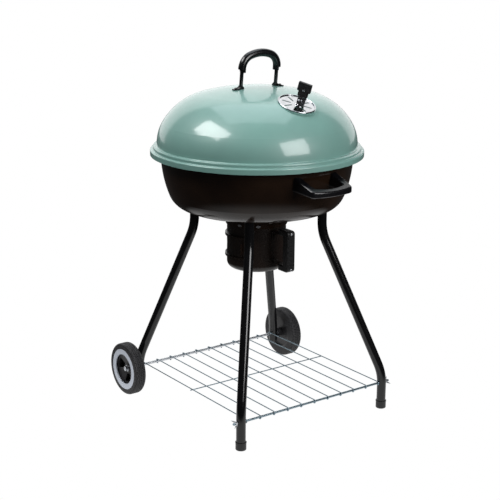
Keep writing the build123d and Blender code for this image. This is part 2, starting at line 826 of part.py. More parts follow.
def round_grate(radius, height, ring_wire, wire, pitch):
    """Round grate: a wire ring, bars welded on it and two cross bars under them."""
    ring_radius = radius - ring_wire / 2
    bar_height = height + ring_wire / 2 + wire / 2 - weld
    side_bars = int((ring_radius - pitch / 2) / pitch)
    with BuildPart() as grate:
        with BuildSketch(Plane.XZ.offset(-kettle_y)):
            with Locations((0, bar_height)):
                with GridLocations(pitch, 0, 2 * side_bars + 1, 1):
                    Circle(wire / 2)
        extrude(amount=ring_radius, both=True)
        with BuildSketch(Plane.YZ):
            with Locations((kettle_y, bar_height - wire + weld)):
                with GridLocations(ring_radius, 0, 2, 1):
                    Circle(wire / 2)
        extrude(amount=ring_radius, both=True)
        with BuildSketch(level(height - ring_wire)):
            Circle(ring_radius)
        extrude(amount=2 * ring_wire + wire, mode=Mode.INTERSECT)
        with BuildSketch(kettle_section):
            with Locations((ring_radius, height)):
                Circle(ring_wire / 2)
        revolve(axis=kettle_axis)
    return grate.part


def grate_supports(top):
    """Angle tabs welded to the inside of the bowl, with their flat tops at a height."""
    reach = bowl_wall_radius(top) - sheet - grate_tab_reach
    with BuildPart() as tabs:
        with BuildSketch(level(top)):
            with PolarLocations(reach, grate_tabs, start_angle=45):
                Rectangle(
                    2 * grate_tab_reach, grate_tab_width, align=(Align.MIN, Align.CENTER)
                )
        extrude(amount=-grate_tab_drop)
        add(bowl_form(sheet), mode=Mode.INTERSECT)
        inner_top = top - grate_tab_thickness
        add(bowl_form(sheet + grate_tab_thickness, inner_top), mode=Mode.SUBTRACT)
    return tabs.part


cooking_grate = round_grate(
    cooking_grate_radius, cooking_height, cooking_ring, cooking_wire, cooking_pitch
)
cooking_grate.label = "cooking_grate"
export_step(cooking_grate, "parts/cooking_grate.step")

charcoal_grate = round_grate(
    charcoal_grate_radius, charcoal_height, charcoal_ring, charcoal_wire, charcoal_pitch
)
charcoal_grate.label = "charcoal_grate"
export_step(charcoal_grate, "parts/charcoal_grate.step")

cooking_grate_supports = grate_supports(cooking_height - cooking_ring / 2 - rest_gap)
cooking_grate_supports.label = "cooking_grate_supports"
export_step(cooking_grate_supports, "parts/cooking_grate_supports.step")

charcoal_grate_supports = grate_supports(charcoal_height - charcoal_ring / 2 - rest_gap)
charcoal_grate_supports.label = "charcoal_grate_supports"
export_step(charcoal_grate_supports, "parts/charcoal_grate_supports.step")

# ---- Can collar and its spring clips -----------------------------------------------

collar_radius = can_radius + collar_gap
clip_outer = collar_radius - fit
clip_inner = clip_outer - clip_thickness
pad_inner = can_radius + rest_gap + fit
clip_angles = [clip_angle + 360 * clip / clip_count for clip in range(clip_count)]
stud_angles = [angle + side * stud_half_angle for angle in clip_angles for side in (-1, 1)]


def stud_planes(radius):
    """Planes across the collar's rivets at a radius, facing outwards."""
    return [facing_out(angle, radius, stud_height) for angle in stud_angles]


with BuildPart() as can_collar:
    with BuildSketch(level(collar_bottom)):
        Circle(collar_radius + sheet)
        Circle(collar_radius, mode=Mode.SUBTRACT)
    extrude(until=Until.NEXT, target=bowl_form())
    with BuildSketch(*stud_planes(clip_inner)):
        Circle(stud_shank + fit)
    extrude(amount=collar_gap + sheet, mode=Mode.SUBTRACT)
can_collar.part.label = "can_collar"
export_step(can_collar.part, "parts/can_collar.step")

with BuildPart() as can_clips:
    for angle in clip_angles:
        with BuildSketch(radial_section(angle - clip_half_angle)):
            with Locations((clip_inner, stud_height)):
                Rectangle(clip_thickness, clip_height, align=(Align.MIN, Align.CENTER))
        revolve(axis=kettle_axis, revolution_arc=2 * clip_half_angle)
        with BuildSketch(radial_section(angle - clip_pad_half_angle)):
            with Locations((pad_inner, stud_height)):
                Rectangle(clip_inner - pad_inner, clip_height, align=(Align.MIN, Align.CENTER))
        revolve(axis=kettle_axis, revolution_arc=2 * clip_pad_half_angle)
    with BuildSketch(*stud_planes(pad_inner)):
        Circle(stud_shank + fit)
    extrude(amount=collar_gap, mode=Mode.SUBTRACT)
can_clips.part.label = "can_clips"
export_step(can_clips.part, "parts/can_clips.step")

with BuildPart() as can_clip_rivets:
    with BuildSketch(*stud_planes(collar_radius + sheet)):
        Ellipse(stud_half_width, stud_half_height)
    extrude(amount=stud_rise)
    with BuildSketch(*stud_planes(pad_inner + rest_gap)):
        Circle(stud_shank)
    extrude(amount=collar_radius + sheet + fit - pad_inner)
can_clip_rivets.part.label = "can_clip_rivets"
export_step(can_clip_rivets.part, "parts/can_clip_rivets.step")

# ---- Ash can -----------------------------------------------------------------------

air_hole_angles = [first_air_hole_angle - air_hole_spacing * hole for hole in range(air_holes)]
rail_heights = (air_hole_height - rail_spread / 2, air_hole_height + rail_spread / 2)
slider_radius = can_radius + slider_thickness + rest_gap
groove_inner = slider_radius + (slider_thickness - rail_groove) / 2
bracket_middle = (ash_grip_low + ash_grip_high) / 2
bracket_reach = ash_reach - ash_grip_depth / 2
bracket_arm = (ash_grip_high - ash_grip_low) / 2 - ash_grip_arm
flange_middle = bracket_arm - ash_flange / 2
flange_face = can_radius + ash_strap_thickness - rest_gap

screw_spread = (ash_grip_high - ash_grip_low) / 2 - ash_screw_inset


def ash_planes(radius, spread):
    """Pair of planes across the can handle's fixings, above and below its middle."""
    return [facing_out(270, radius, bracket_middle + side * spread) for side in (-1, 1)]


with BuildPart() as ash_can:
    with BuildSketch(kettle_section):
        with BuildLine():
            FilletPolyline(
                (0, can_bottom),
                (can_radius, can_bottom),
                (can_radius, can_top),
                radius=can_corner,
            )
            offset(amount=sheet, side=Side.LEFT)
        make_face()
    revolve(axis=kettle_axis)
    for angle in air_hole_angles:
        with BuildSketch(facing_out(angle, can_radius / 2, air_hole_height)):
            Circle(air_hole_radius)
        extrude(amount=can_radius, mode=Mode.SUBTRACT)
    with BuildSketch(*ash_planes(can_radius / 2, flange_middle)):
        Circle(ash_rivet_radius + fit)
    extrude(amount=can_radius, mode=Mode.SUBTRACT)
ash_can.part.label = "ash_can"
export_step(ash_can.part, "parts/ash_can.step")

with BuildPart() as can_rails:
    for height, turn in zip(rail_heights, (1, -1)):
        with BuildSketch(radial_section(rail_start_angle)):
            with Locations((can_radius, height)):
                Rectangle(rail_depth, rail_height, align=(Align.MIN, Align.CENTER))
            with Locations((groove_inner, height + turn * rail_height / 2)):
                Rectangle(
                    rail_groove,
                    2 * rail_groove_depth,
                    align=(Align.MIN, Align.CENTER),
                    mode=Mode.SUBTRACT,
                )
        revolve(axis=kettle_axis, revolution_arc=rail_end_angle - rail_start_angle)
can_rails.part.label = "can_rails"
export_step(can_rails.part, "parts/can_rails.step")

with BuildPart() as air_slider:
    slider_height = rail_spread - rail_height + 2 * rail_groove_depth - 2 * rest_gap
    with BuildSketch(radial_section(slider_start_angle)):
        with Locations((slider_radius, air_hole_height)):
            Rectangle(slider_thickness, slider_height, align=(Align.MIN, Align.CENTER))
    revolve(axis=kettle_axis, revolution_arc=slider_end_angle - slider_start_angle)
    with BuildSketch(radial_section(slider_end_angle)):
        with Locations((slider_radius, air_hole_height)):
            Rectangle(slider_tab, slider_tab_height, align=(Align.MIN, Align.CENTER))
    extrude(amount=slider_thickness)
air_slider.part.label = "air_slider"
export_step(air_slider.part, "parts/air_slider.step")

# ---- Ash can handle ----------------------------------------------------------------

with BuildPart() as ash_handle_brackets:
    for side in (-1, 1):
        with BuildSketch(radial_section(270)):
            with BuildLine():
                FilletPolyline(
                    (flange_face, bracket_middle + side * (bracket_arm - ash_flange)),
                    (flange_face, bracket_middle + side * bracket_arm),
                    (bracket_reach, bracket_middle + side * bracket_arm),
                    (bracket_reach, bracket_middle + side * (bracket_arm + ash_tab)),
                    radius=ash_strap_thickness,
                )
                offset(
                    amount=ash_strap_thickness,
                    side=Side.LEFT if side > 0 else Side.RIGHT,
                )
            make_face()
        extrude(amount=ash_strap_width / 2, both=True)
    with BuildSketch(level(can_bottom)):
        Circle(can_radius)
    extrude(amount=can_top - can_bottom, mode=Mode.SUBTRACT)
    with BuildSketch(*ash_planes(can_radius / 2, flange_middle)):
        Circle(ash_rivet_radius + fit)
    extrude(amount=can_radius, mode=Mode.SUBTRACT)
    with BuildSketch(*ash_planes(bracket_reach - 2 * ash_strap_thickness, screw_spread)):
        Circle(ash_screw_radius + fit)
    extrude(amount=4 * ash_strap_thickness, mode=Mode.SUBTRACT)
ash_handle_brackets.part.label = "ash_handle_brackets"
export_step(ash_handle_brackets.part, "parts/ash_handle_brackets.step")

with BuildPart() as ash_handle_rivets:
    with BuildSketch(*ash_planes(can_radius - 2 * sheet, flange_middle)):
        Circle(ash_rivet_radius)
    extrude(amount=ash_strap_thickness + 2 * sheet)
    with BuildSketch(*ash_planes(flange_face, flange_middle)):
        Circle(ash_rivet_head)
    extrude(amount=ash_rivet_head_height)
ash_handle_rivets.part.label = "ash_handle_rivets"
export_step(ash_handle_rivets.part, "parts/ash_handle_rivets.step")

with BuildPart() as ash_handle_grip:
    grip_height = ash_grip_high - ash_grip_low
    with BuildSketch(radial_section(270)):
        with Locations((ash_reach, bracket_middle)):
            Rectangle(ash_grip_arm_length, grip_height, align=(Align.MAX, Align.CENTER))
    extrude(amount=ash_grip_width / 2, both=True)
    outer_corners = ash_handle_grip.edges().filter_by(Axis.X).group_by(Axis.Y)[0]
    fillet(outer_corners, ash_grip_round)
    with BuildSketch(radial_section(270)):
        with Locations((ash_reach - ash_grip_depth, bracket_middle)):
            Rectangle(
                ash_grip_arm_length,
                grip_height - 2 * ash_grip_arm,
                align=(Align.MAX, Align.CENTER),
            )
    extrude(amount=ash_grip_width / 2, both=True, mode=Mode.SUBTRACT)
    loop_corners = ash_handle_grip.edges().filter_by(Axis.X).group_by(Axis.Y)[2]
    rounded = ash_handle_grip.faces().filter_by(Axis.X).edges() - loop_corners
    fillet(rounded, grip_edge_round)
    with BuildSketch(radial_section(270)):
        with Locations((ash_reach, bracket_middle)):
            with GridLocations(0, ash_rib_pitch, 1, ash_ribs):
                Rectangle(2 * ash_rib_rise, ash_rib_height)
    extrude(amount=ash_grip_width / 2 - grip_edge_round, both=True)
    # The arms are hollow from the loop's side, so that the grip slides onto the brackets.
    with BuildSketch(radial_section(270)):
        with Locations((bracket_reach + fit, bracket_middle)):
            Rectangle(
                ash_grip_arm_length,
                2 * (bracket_arm + ash_tab + fit),
                align=(Align.MAX, Align.CENTER),
            )
            Rectangle(
                ash_grip_depth,
                2 * (bracket_arm - fit),
                align=(Align.MAX, Align.CENTER),
                mode=Mode.SUBTRACT,
            )
    extrude(amount=ash_strap_width / 2 + fit, both=True, mode=Mode.SUBTRACT)
    with BuildSketch(*ash_planes(bracket_reach, screw_spread)):
        Circle(ash_screw_radius + fit)
    extrude(amount=ash_grip_depth, mode=Mode.SUBTRACT)
ash_handle_grip.part.label = "ash_handle_grip"
export_step(ash_handle_grip.part, "parts/ash_handle_grip.step")

with BuildPart() as ash_handle_screws:
    with BuildSketch(*ash_planes(ash_reach + fit, screw_spread)):
        Circle(ash_screw_head)
    extrude(amount=ash_screw_head_height)
    screw_fronts = ash_handle_screws.faces().group_by(Axis.Y)[0]
    fillet(screw_fronts.edges(), head_round * ash_screw_head_height)
    with BuildSketch(*ash_planes(ash_reach + fit, screw_spread)):
        Circle(ash_screw_radius)
    extrude(amount=-ash_screw_length)
ash_handle_screws.part.label = "ash_handle_screws"
export_step(ash_handle_screws.part, "parts/ash_handle_screws.step")

# ---- Legs --------------------------------------------------------------------------

leg_bore = leg_radius - leg_wall
front_rod_height = axle_height + axle_radius - front_rod_radius


def leg_form(top_reach, foot_reach, low, radius):
    """Solid rod along the right leg's line, up into the bowl and down to a height."""
    top = Vector(leg_top_half, kettle_y + top_reach, 0)
    foot = Vector(leg_foot_half, kettle_y + foot_reach, 0)
    with BuildPart() as rod:
        with BuildLine() as line:
            FilletPolyline(
                foot + Vector(0, 0, low),
                foot + Vector(0, 0, leg_lower_bend),
                top + Vector(0, 0, leg_upper_bend),
                top + Vector(0, 0, bowl_bottom + leg_plug_height),
                radius=leg_bend_radius,
            )
        with BuildSketch(Plane(line.line @ 0, x_dir=(1, 0, 0), z_dir=(0, 0, 1))):
            Circle(radius)
        sweep()
    return rod.part


def leg_tube(top_reach, foot_reach, low, hole_radius, hole_height):
    """Right leg: a bent tube trimmed against the bowl, with a cross hole near its foot."""
    with BuildPart() as tube:
        add(leg_form(top_reach, foot_reach, low, leg_radius))
        add(leg_form(top_reach, foot_reach, low, leg_bore), mode=Mode.SUBTRACT)
        add(bowl_form(), mode=Mode.SUBTRACT)
        with BuildSketch(Plane.YZ):
            with Locations((kettle_y + foot_reach, hole_height)):
                Circle(hole_radius + fit)
        extrude(amount=leg_foot_half + 2 * leg_radius, mode=Mode.SUBTRACT)
    return tube.part


front_leg = leg_tube(
    -front_top_reach, -front_foot_reach, cap_floor, front_rod_radius, front_rod_height
)
rear_leg = leg_tube(rear_top_reach, rear_foot_reach, rear_leg_end, axle_radius, axle_height)

with BuildPart() as foot_cap:
    cap_radius = leg_radius + fit + cap_wall
    with BuildSketch(Plane((leg_foot_half, front_foot_y, 0))):
        Circle(cap_radius)
    extrude(amount=cap_height)
    with BuildSketch(Plane((leg_foot_half, front_foot_y, cap_height - cap_bead_height))):
        Circle(cap_radius + cap_bead)
    extrude(amount=cap_bead_height)
    fillet(foot_cap.faces().sort_by(Axis.Z)[0].edges(), cap_round)
    with BuildSketch(Plane((leg_foot_half, front_foot_y, cap_floor))):
        Circle(leg_radius + fit)
    extrude(amount=cap_height, mode=Mode.SUBTRACT)

# Pieces made once, for the right side, and mirrored onto the left.
for name, piece in (
    ("leg_front", front_leg),
    ("leg_rear", rear_leg),
    ("foot_cap", foot_cap.part),
):
    piece.label = f"{name}_right"
    export_step(piece, f"parts/{name}_right.step")
    mirrored = mirror(piece, about=Plane.YZ)
    mirrored.label = f"{name}_left"
    export_step(mirrored, f"parts/{name}_left.step")

with BuildPart() as rear_leg_plugs:
    plug_places = [(side * leg_foot_half, axle_y) for side in (-1, 1)]
    with BuildSketch(Plane.XY.offset(rear_leg_end - rear_plug_flange)):
        with Locations(*plug_places):
            Circle(leg_radius)
    extrude(amount=rear_plug_flange)
    with BuildSketch(Plane.XY.offset(rear_leg_end)):
        with Locations(*plug_places):
            Circle(leg_bore - fit)
    extrude(amount=rear_plug_height)
rear_leg_plugs.part.label = "rear_leg_plugs"
export_step(rear_leg_plugs.part, "parts/rear_leg_plugs.step")

with BuildPart() as leg_top_plugs:
    plug_bottom = bowl_bottom - leg_plug_height
    with BuildSketch(level(plug_bottom)):
        with Locations(*leg_tops):
            Circle(leg_bore - fit)
            Circle(leg_bolt_radius + fit, mode=Mode.SUBTRACT)
    extrude(amount=2 * leg_plug_height)
    add(bowl_form(), mode=Mode.SUBTRACT)
leg_top_plugs.part.label = "leg_top_plugs"
export_step(leg_top_plugs.part, "parts/leg_top_plugs.step")

with BuildPart() as leg_top_bolts:
    for x, reach in leg_tops:
        place = Plane((x, kettle_y + reach, plug_bottom))
        seat = bowl_bottom_height(sqrt(x**2 + reach**2) + leg_bolt_head) + sheet + rest_gap
        with BuildSketch(place):
            Circle(leg_bolt_radius)
        extrude(amount=seat - plug_bottom)
        with BuildSketch(place.offset(seat - plug_bottom)):
            Circle(leg_bolt_head)
        extrude(amount=leg_bolt_head_height)
leg_top_bolts.part.label = "leg_top_bolts"
export_step(leg_top_bolts.part, "parts/leg_top_bolts.step")

# ---- Axle and wheels ---------------------------------------------------------------

leg_outer_face = leg_foot_half + leg_radius
wheel_inner_face = leg_outer_face + wheel_leg_gap
wheel_outer_face = wheel_inner_face + wheel_width
boss_inner_face = leg_outer_face + rest_gap + axle_washer + side_play
boss_outer_face = wheel_outer_face - hub_boss_recess
outer_washer_face = boss_outer_face + side_play
hub_outer_face = wheel_outer_face - ring_recess - ring_thickness
hub_back_face = wheel_inner_face + hub_back_inset
web_boss_face = wheel_outer_face - web_boss_recess
web_rim_face = wheel_outer_face - web_rim_recess
hub_rim_radius = ring_inner_radius + hub_rim_thickness
axle_line = Axis((0, axle_y, axle_height), (1, 0, 0))
wheel_section = Plane((0, axle_y, axle_height), x_dir=(1, 0, 0), z_dir=(0, -1, 0))


def axle_plane(x):
    """Plane across the axle's line, facing +X, with its X along +Y."""
    return Plane((x, axle_y, axle_height), x_dir=(0, 1, 0), z_dir=(1, 0, 0))


with BuildPart() as axle:
    with BuildSketch(Plane.YZ):
        with Locations((axle_y, axle_height)):
            Circle(axle_radius)
    extrude(amount=wheel_outer_face - axle_end_inset, both=True)
    chamfer(axle.edges().filter_by(GeomType.CIRCLE), axle_end_chamfer)
axle.part.label = "axle"
export_step(axle.part, "parts/axle.step")

with BuildPart() as axle_washers:
    for face in (leg_outer_face + rest_gap, outer_washer_face):
        for side in (-1, 1):
            with BuildSketch(axle_plane(side * face)):
                Circle(axle_washer_radius)
                Circle(axle_radius + fit, mode=Mode.SUBTRACT)
            extrude(amount=side * axle_washer)
axle_washers.part.label = "axle_washers"
export_step(axle_washers.part, "parts/axle_washers.step")

with BuildPart() as axle_nuts:
    for side in (-1, 1):
        with BuildSketch(axle_plane(side * (outer_washer_face + axle_washer))):
            RegularPolygon(axle_nut_flats / 2, 6, major_radius=False)
            Circle(axle_radius + fit, mode=Mode.SUBTRACT)
        extrude(amount=side * axle_nut)
axle_nuts.part.label = "axle_nuts"
export_step(axle_nuts.part, "parts/axle_nuts.step")

with BuildPart() as tyre:
    with BuildSketch(wheel_section):
        with BuildLine():
            FilletPolyline(
                (wheel_inner_face, hub_rim_radius + fit),
                (wheel_inner_face, wheel_radius),
                (wheel_outer_face, wheel_radius),
                (wheel_outer_face, hub_rim_radius + fit),
                radius=tyre_round,
            )
            Line((wheel_inner_face, hub_rim_radius + fit), (wheel_outer_face, hub_rim_radius + fit))
        make_face()
        with Locations((wheel_outer_face, 0)):
            Rectangle(
                2 * (ring_recess + ring_thickness),
                2 * (ring_outer_radius + fit),
                mode=Mode.SUBTRACT,
            )
        with Locations((wheel_outer_face - wheel_width / 2, wheel_radius)):
            with GridLocations(tyre_groove_pitch, 0, tyre_grooves, 1):
                Rectangle(tyre_groove_width, 2 * tyre_groove_depth, mode=Mode.SUBTRACT)
    revolve(axis=axle_line)

with BuildPart() as wheel_ring:
    with BuildSketch(wheel_section):
        with Locations((hub_outer_face, ring_inner_radius)):
            Rectangle(
                ring_thickness,
                ring_outer_radius - ring_inner_radius,
                align=(Align.MIN, Align.MIN),
            )
    revolve(axis=axle_line)

with BuildPart() as wheel_hub:
    with BuildSketch(wheel_section):
        with Locations((wheel_inner_face, ring_inner_radius)):
            Rectangle(
                hub_outer_face - wheel_inner_face,
                hub_rim_thickness,
                align=(Align.MIN, Align.MIN),
            )
        with Locations((boss_inner_face, axle_radius + running)):
            Rectangle(
                boss_outer_face - boss_inner_face,
                hub_boss_radius - axle_radius - running,
                align=(Align.MIN, Align.MIN),
            )
        with BuildLine():
            Polyline(
                (web_boss_face - hub_web, hub_boss_radius - weld),
                (web_boss_face, hub_boss_radius - weld),
                (web_rim_face, ring_inner_radius + weld),
                (web_rim_face - hub_web, ring_inner_radius + weld),
                close=True,
            )
        make_face()
        with Locations((hub_back_face, hub_boss_radius - weld)):
            Rectangle(
                hub_back,
                ring_inner_radius - hub_boss_radius + 2 * weld,
                align=(Align.MAX, Align.MIN),
            )
    revolve(axis=axle_line)
    gap_reach = ring_inner_radius * cos(radians(hub_gap_angle / 2))
    gap_half_width = ring_inner_radius * sin(radians(hub_gap_angle / 2))
    with BuildSketch(axle_plane(hub_back_face)):
        with PolarLocations(0, hub_spokes, start_angle=hub_gap_turn):
            Polygon(
                (0, 0),
                (2 * gap_reach, -2 * gap_half_width),
                (2 * gap_reach, 2 * gap_half_width),
                align=None,
            )
        Circle(ring_inner_radius - hub_gap_margin, mode=Mode.INTERSECT)
        Circle(hub_boss_radius + hub_gap_margin, mode=Mode.SUBTRACT)
    extrude(amount=wheel_width, mode=Mode.SUBTRACT)

for name, piece in (
    ("tyre", tyre.part),
    ("wheel_ring", wheel_ring.part),
    ("wheel_hub", wheel_hub.part),
):
    piece.label = f"{name}_right"
    export_step(piece, f"parts/{name}_right.step")
    mirrored = mirror(piece, about=Plane.YZ)
    mirrored.label = f"{name}_left"
    export_step(mirrored, f"parts/{name}_left.step")

# ---- Rack --------------------------------------------------------------------------

rack_height = axle_height + axle_radius + fit + rack_wire / 2
rack_half = leg_foot_half - leg_radius - rack_side_gap - rack_wire / 2
rack_pitch = 2 * rack_half / (rack_wires - 1)
front_rod_end = leg_outer_face + front_rod_stub

with BuildPart() as rack_front_rod:
    with BuildSketch(Plane.YZ):
        with Locations((front_foot_y, front_rod_height)):
            Circle(front_rod_radius)
    extrude(amount=front_rod_end, both=True)
rack_front_rod.part.label = "rack_front_rod"
export_step(rack_front_rod.part, "parts/rack_front_rod.step")

with BuildPart() as rack_grid:
    for wire in range(rack_wires):
        x = wire * rack_pitch - rack_half
        with BuildLine(Plane((x, 0, 0), x_dir=(0, 1, 0), z_dir=(1, 0, 0))):
            front_hook = JernArc(
                (front_foot_y, rack_height),
                (-1, 0),
                front_rod_radius + fit + rack_wire / 2,
                rack_hook_turn,
            )
            Line((front_foot_y, rack_height), (axle_y, rack_height))
            rear_hook = JernArc(
                (axle_y, rack_height),
                (1, 0),
                axle_radius + fit + rack_wire / 2,
                -rack_hook_turn,
            )
        with BuildSketch(Plane((x, kettle_y, rack_height), x_dir=(1, 0, 0), z_dir=(0, 1, 0))):
            Circle(rack_wire / 2)
        sweep()
    with BuildSketch(Plane.YZ):
        with Locations((kettle_y - cross_wire_reach, rack_height - rack_wire + weld)):
            Circle(rack_wire / 2)
    extrude(amount=rack_half + rack_wire / 2 + cross_wire_overhang, both=True)
rack_grid.part.label = "rack_grid"
export_step(rack_grid.part, "parts/rack_grid.step")

with BuildPart() as wing_nuts:
    for side in (-1, 1):
        place = Plane(
            (side * (leg_outer_face + rest_gap), front_foot_y, front_rod_height),
            x_dir=(0, 1, 0),
            z_dir=(side, 0, 0),
        )
        with BuildSketch(place):
            Circle(wing_nut_radius)
        extrude(amount=wing_nut_length)
        wings = Plane(place.origin, x_dir=(0, 1, 1), z_dir=(0, 1, -1))
        with BuildSketch(wings):
            with BuildLine():
                Polyline(
                    (-wing_nut_radius, 0),
                    (-wing_span, side * wing_rise),
                    (0, side * wing_nut_length / 2),
                    (wing_span, side * wing_rise),
                    (wing_nut_radius, 0),
                    close=True,
                )
            make_face()
        extrude(amount=wing_thickness / 2, both=True)
        with BuildSketch(place):
            Circle(front_rod_radius + fit)
        extrude(amount=2 * wing_rise, mode=Mode.SUBTRACT)
wing_nuts.part.label = "wing_nuts"
export_step(wing_nuts.part, "parts/wing_nuts.step")
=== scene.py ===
import json
import math

import bpy
from mathutils import Matrix, Vector

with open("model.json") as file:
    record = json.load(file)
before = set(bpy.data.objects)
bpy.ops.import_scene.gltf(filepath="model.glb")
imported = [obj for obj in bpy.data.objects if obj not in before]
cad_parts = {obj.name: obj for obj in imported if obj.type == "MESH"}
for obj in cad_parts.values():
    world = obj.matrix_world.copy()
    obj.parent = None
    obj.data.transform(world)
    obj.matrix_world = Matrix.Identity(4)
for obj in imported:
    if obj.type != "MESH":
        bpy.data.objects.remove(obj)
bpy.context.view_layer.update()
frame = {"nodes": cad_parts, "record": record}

# Looks, light and camera for the kettle charcoal grill. Lengths are in metres, in the CAD's
# own frame: +Z up, the floor at z = 0, +Y towards the wheels.

nodes = frame["nodes"]

# ---- Camera ------------------------------------------------------------------------

VIEW_AZIMUTH = math.radians(36.126)
VIEW_ELEVATION = math.radians(15.597)
VIEW_ROLL = math.radians(0.337)
VIEW_DISTANCE = 3.391
VIEW_TARGET = Vector((-0.0218, 0.0109, 0.4419))
LENS = 87.88
SENSOR = 36.0


def add_camera():
    """Creates the camera, looking at the grill from in front and to the left."""
    backward = Vector(
        (
            -math.sin(VIEW_AZIMUTH) * math.cos(VIEW_ELEVATION),
            -math.cos(VIEW_AZIMUTH) * math.cos(VIEW_ELEVATION),
            math.sin(VIEW_ELEVATION),
        )
    )
    level_right = Vector((math.cos(VIEW_AZIMUTH), -math.sin(VIEW_AZIMUTH), 0.0))
    level_up = backward.cross(level_right)
    right = math.cos(VIEW_ROLL) * level_right + math.sin(VIEW_ROLL) * level_up
    up = backward.cross(right)
    data = bpy.data.cameras.new("camera")
    data.lens = LENS
    data.sensor_width = SENSOR
    camera = bpy.data.objects.new("camera", data)
    turn = Matrix((right, up, backward)).transposed().to_4x4()
    camera.matrix_world = Matrix.Translation(VIEW_TARGET + backward * VIEW_DISTANCE) @ turn
    bpy.context.scene.collection.objects.link(camera)
    bpy.context.scene.camera = camera


# ---- Material helpers --------------------------------------------------------------

NOISE_LOW = 0.3  # nearly all of a noise lies between these two
NOISE_HIGH = 0.7


def new_material(name, color, roughness, metallic=0.0, coat=0.0, coat_roughness=0.05):
    """Makes a material with a plain Principled shader and returns its parts."""
    material = bpy.data.materials.new(name)
    material.use_nodes = True
    shader = material.node_tree.nodes["Principled BSDF"]
    shader.inputs["Base Color"].default_value = (*color, 1.0)
    shader.inputs["Roughness"].default_value = roughness
    shader.inputs["Metallic"].default_value = metallic
    shader.inputs["Coat Weight"].default_value = coat
    shader.inputs["Coat Roughness"].default_value = coat_roughness
    return material, material.node_tree, shader


def add_noise(tree, scale, detail=3.0, roughness=0.5, stretch=(1.0, 1.0, 1.0)):
    """Adds a noise texture over object coordinates, with a scale in features per metre."""
    place = tree.nodes.new("ShaderNodeTexCoord")
    mapping = tree.nodes.new("ShaderNodeMapping")
    mapping.inputs["Scale"].default_value = stretch
    noise = tree.nodes.new("ShaderNodeTexNoise")
    noise.inputs["Scale"].default_value = scale
    noise.inputs["Detail"].default_value = detail
    noise.inputs["Roughness"].default_value = roughness
    tree.links.new(place.outputs["Object"], mapping.inputs["Vector"])
    tree.links.new(mapping.outputs["Vector"], noise.inputs["Vector"])
    return noise.outputs["Fac"]


def add_ramp(tree, factor, low, high, start=0.35, end=0.65):
    """Maps a factor onto a blend from one colour to another."""
    ramp = tree.nodes.new("ShaderNodeValToRGB")
    ramp.color_ramp.elements[0].position = start
    ramp.color_ramp.elements[0].color = (*low, 1.0)
    ramp.color_ramp.elements[1].position = end
    ramp.color_ramp.elements[1].color = (*high, 1.0)
    tree.links.new(factor, ramp.inputs["Fac"])
    return ramp.outputs["Color"]


def add_range(tree, factor, low, high):
    """Maps the middle of a noise's range onto a range of numbers."""
    spread = tree.nodes.new("ShaderNodeMapRange")
    spread.inputs["From Min"].default_value = NOISE_LOW
    spread.inputs["From Max"].default_value = NOISE_HIGH
    spread.inputs["To Min"].default_value = low
    spread.inputs["To Max"].default_value = high
    tree.links.new(factor, spread.inputs["Value"])
    return spread.outputs["Result"]


def add_bump(tree, shader, height, distance, strength=1.0):
    """Bends the shader's normal by a height, whose full range is a distance in metres."""
    bump = tree.nodes.new("ShaderNodeBump")
    bump.inputs["Strength"].default_value = strength
    bump.inputs["Distance"].default_value = distance
    tree.links.new(height, bump.inputs["Height"])
    tree.links.new(bump.outputs["Normal"], shader.inputs["Normal"])


def shade(color, factor):
    """The colour made lighter or darker by a factor."""
    return tuple(channel * factor for channel in color)


def tinted(name, color, roughness, spread=0.12, patch=18.0, grain=900.0, depth=0.00002, **finish):
    """A surface with a soft drift of colour and gloss, and a fine grain in its normal."""
    material, tree, shader = new_material(name, color, sum(roughness) / 2, **finish)
    drift = add_noise(tree, patch)
    base = add_ramp(tree, drift, shade(color, 1 - spread), shade(color, 1 + spread))
    tree.links.new(base, shader.inputs["Base Color"])
    fine = add_noise(tree, grain, detail=2.0)
    gloss = add_range(tree, fine, *roughness)
    tree.links.new(gloss, shader.inputs["Roughness"])
    add_bump(tree, shader, fine, depth)
    return material


# ---- Materials ---------------------------------------------------------------------

AXLE_Y = 0.24835  # the wheels' axle, in the CAD's frame
AXLE_HEIGHT = 0.075
TYRE_LUGS = 90.0
TREAD_RADIUS = 0.0675  # where the tyre's side turns into its tread
LUG_DEPTH = 0.0006


def lid_enamel():
    """Pale green porcelain enamel: a glossy coat with a very slight ripple."""
    return tinted(
        "lid_enamel",
        (0.158, 0.305, 0.272),
        (0.40, 0.48),
        spread=0.05,
        patch=9.0,
        grain=260.0,
        depth=0.00004,
        coat=0.75,
        coat_roughness=0.11,
    )


def bowl_enamel():
    """Black porcelain enamel with a brown cast."""
    return tinted(
        "bowl_enamel",
        (0.012, 0.0062, 0.0036),
        (0.08, 0.13),
        spread=0.3,
        patch=10.0,
        grain=300.0,
        depth=0.00001,
        coat=0.0,
    )


def can_enamel():
    """Satin black enamel of the ash can."""
    return tinted(
        "can_enamel",
        (0.009, 0.005, 0.0035),
        (0.24, 0.34),
        spread=0.3,
        patch=25.0,
        grain=500.0,
        depth=0.00001,
    )


def leg_paint():
    """Glossy black paint on drawn tube."""
    return tinted(
        "leg_paint",
        (0.003, 0.003, 0.0035),
        (0.13, 0.19),
        spread=0.25,
        patch=30.0,
        grain=700.0,
        depth=0.000004,
    )


def black_gloss_plastic():
    """Glossy black moulded plastic of the two big handles."""
    return tinted(
        "black_gloss_plastic",
        (0.003, 0.003, 0.004),
        (0.2, 0.28),
        spread=0.15,
        patch=40.0,
        grain=1600.0,
        depth=0.000006,
    )


def black_plastic():
    """Satin black moulded plastic with a fine spark-eroded grain."""
    return tinted(
        "black_plastic",
        (0.006, 0.006, 0.0065),
        (0.36, 0.48),
        spread=0.15,
        patch=40.0,
        grain=2200.0,
        depth=0.00005,
    )


